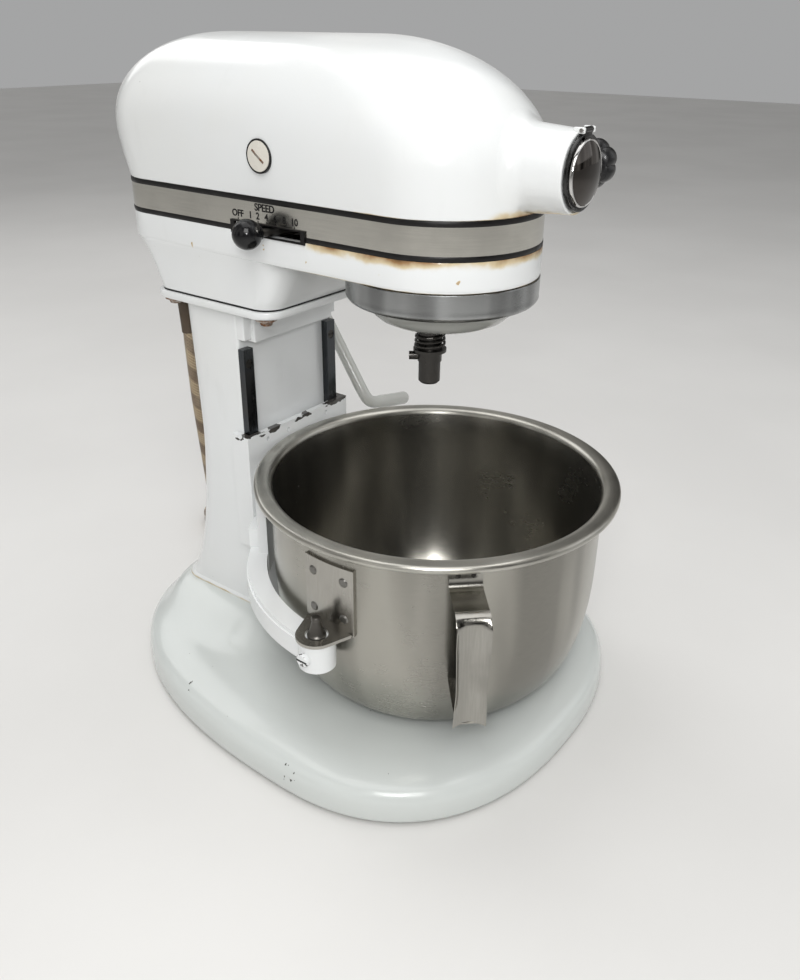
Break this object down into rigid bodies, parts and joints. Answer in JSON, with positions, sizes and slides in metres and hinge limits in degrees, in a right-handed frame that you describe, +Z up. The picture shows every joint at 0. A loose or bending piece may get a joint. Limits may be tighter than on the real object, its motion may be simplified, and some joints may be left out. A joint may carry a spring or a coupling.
{
  "type": "stand mixer",
  "caption": "Stand mixer with a fixed motor head on a column, planetary beater drive, lift lever and a steel bowl held in a sliding yoke.",
  "frame": {"origin": "bottom centre of the whole mixer without its cord, on the table", "axes": "+Z up, the nose of the head and the attachment hub towards -Y, the speed lever on the -X side, the lift lever on the +X side"},
  "size_m": [0.3076, 0.4479, 0.419],
  "materials": {
    "white_enamel": "gloss",
    "bowl_steel": "brushed",
    "steel": "satin",
    "chrome": "polished",
    "dark_steel": "satin",
    "band_metal": "brushed",
    "black_plastic": "gloss",
    "cream_plastic": "gloss",
    "rubber": "matte",
    "black_paint": "satin",
    "brass": "satin",
    "carbon": "matte",
    "braid": "woven"
  },
  "bodies": {
    "stand": {"base_casting": "white_enamel", "rubber_feet": "rubber", "column_bolts": "steel", "column": "white_enamel", "slide_rails": "steel", "rail_screws": "dark_steel", "flange_screws": "steel", "flange_washers": "steel", "gearcase": "white_enamel", "head_shell": "white_enamel", "trim_band": "band_metal", "trim_stripes": "black_paint", "slot_plate": "black_paint", "speed_scale": "black_paint", "brush_caps": "cream_plastic", "brush_tubes": "brass", "carbon_brushes": "carbon", "brush_springs": "steel", "motor_field": "dark_steel", "motor_bearings": "steel", "ring_gear": "steel", "drip_ring": "bowl_steel", "hub_hinge_pin": "steel", "strain_relief": "rubber", "cord": "braid", "cord_coil": "braid", "plug": "rubber"},
    "yoke": {"yoke": "white_enamel", "yoke_pins": "dark_steel", "yoke_set_screws": "steel"},
    "bowl": {"bowl": "bowl_steel", "bowl_brackets": "bowl_steel", "bowl_rivets": "dark_steel", "bowl_handle": "bowl_steel"},
    "lift_lever": {"lift_shaft": "steel", "lift_rod": "white_enamel", "lift_grip": "white_enamel"},
    "planetary": {"planet_carrier": "white_enamel", "centre_shaft": "steel", "centre_gear": "steel"},
    "beater": {"beater_shaft": "dark_steel", "shaft_pin": "dark_steel", "shaft_spring": "dark_steel", "shaft_washer": "dark_steel", "planet_pinion": "steel"},
    "cover": {"hub_cover": "chrome"},
    "knob": {"attachment_knob": "black_plastic", "knob_screw": "steel"},
    "speed_lever": {"speed_rod": "dark_steel", "speed_ball": "black_plastic", "speed_slider": "steel"},
    "armature": {"armature_shaft": "steel", "armature_core": "dark_steel", "commutator": "brass", "cooling_fan": "dark_steel"},
    "drive": {"drive_shaft": "steel", "worm_wheel": "brass", "drive_pinion": "steel"},
    "attachment_drive": {"attachment_shaft": "steel", "attachment_gear": "steel"}
  },
  "joints": [
    {"name": "yoke_lift", "type": "slide", "parent": "stand", "child": "yoke", "axis": [0, 0, 1], "range_m": [0, 0.055]},
    {"name": "bowl_lift_off", "type": "slide", "parent": "yoke", "child": "bowl", "axis": [0, 0, 1], "range_m": [0, 0.025]},
    {"name": "lift_lever_turn", "type": "hinge", "parent": "stand", "child": "lift_lever", "pos_m": [0, 0.093, 0.24], "axis": [1, 0, 0], "range_deg": [0, 90]},
    {"name": "hub_cover_flip", "type": "hinge", "parent": "stand", "child": "cover", "pos_m": [0, -0.1396, 0.3789], "axis": [-1, 0, 0], "range_deg": [0, 110]},
    {"name": "attachment_knob_turn", "type": "hinge", "parent": "stand", "child": "knob", "pos_m": [0.026, -0.127, 0.3586], "axis": [1, 0, 0], "range_deg": [-180, 180]},
    {"name": "speed_lever_slide", "type": "slide", "parent": "stand", "child": "speed_lever", "axis": [0, 1, 0], "range_m": [-0.02, 0.024]},
    {"name": "planetary_spin", "type": "hinge", "parent": "stand", "child": "planetary", "pos_m": [0, -0.057, 0.28], "axis": [0, 0, 1], "continuous": true},
    {"name": "beater_spin", "type": "hinge", "parent": "planetary", "child": "beater", "pos_m": [-0.02, -0.0634, 0.25], "axis": [0, 0, 1], "continuous": true},
    {"name": "drive_spin", "type": "hinge", "parent": "stand", "child": "drive", "pos_m": [0.0226, -0.0164, 0.33], "axis": [0, 0, 1], "continuous": true},
    {"name": "armature_spin", "type": "hinge", "parent": "stand", "child": "armature", "pos_m": [0, 0.06, 0.3586], "axis": [0, 1, 0], "continuous": true},
    {"name": "attachment_spin", "type": "hinge", "parent": "stand", "child": "attachment_drive", "pos_m": [0, -0.09, 0.3586], "axis": [0, 1, 0], "continuous": true}
  ],
  "couplings": [
    {"joint": "lift_lever_turn", "follows": "yoke_lift", "rad_per_m": 28.559},
    {"joint": "beater_spin", "follows": "planetary_spin", "ratio": -3},
    {"joint": "drive_spin", "follows": "planetary_spin", "ratio": -3.5714},
    {"joint": "armature_spin", "follows": "planetary_spin", "ratio": 35.714},
    {"joint": "attachment_spin", "follows": "planetary_spin", "ratio": 2.0833}
  ]
}
